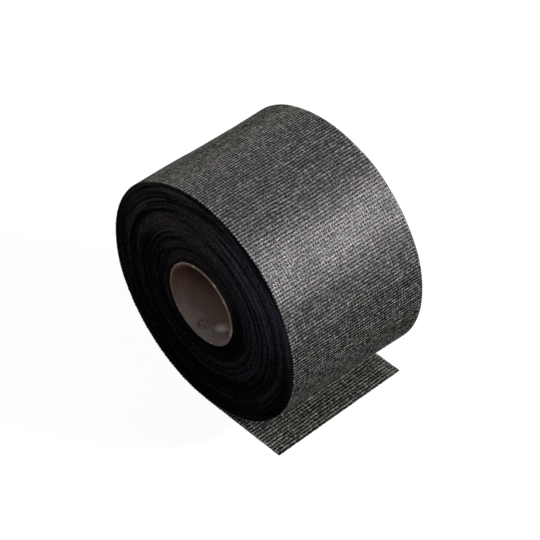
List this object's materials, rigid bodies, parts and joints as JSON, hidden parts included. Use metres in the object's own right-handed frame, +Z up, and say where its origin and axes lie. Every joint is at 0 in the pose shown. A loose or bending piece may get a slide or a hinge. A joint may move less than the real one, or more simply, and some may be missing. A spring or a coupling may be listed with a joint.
{
  "type": "fabric roll",
  "caption": "Roll of black woven reinforcing fabric wound on a cardboard tube, lying on its side with a short free end drawn out flat from under it.",
  "frame": {"origin": "centre of the roll's footprint on the floor: under the middle of the roll's width, on the line that the roll rests on", "axes": "+Z up, Y along the roll's axis, +X the way the free end is drawn out"},
  "size_m": [0.1598, 0.1046, 0.16],
  "materials": {
    "asphalt_fabric": "open plain weave, soaked in black asphalt, with a dull sheen and small bright specks",
    "cardboard": "matte greyish brown, paler at the cut rim, with scuffs inside"
  },
  "bodies": {
    "root": {"wound_fabric": "asphalt_fabric", "core_tube": "cardboard"}
  },
  "joints": []
}
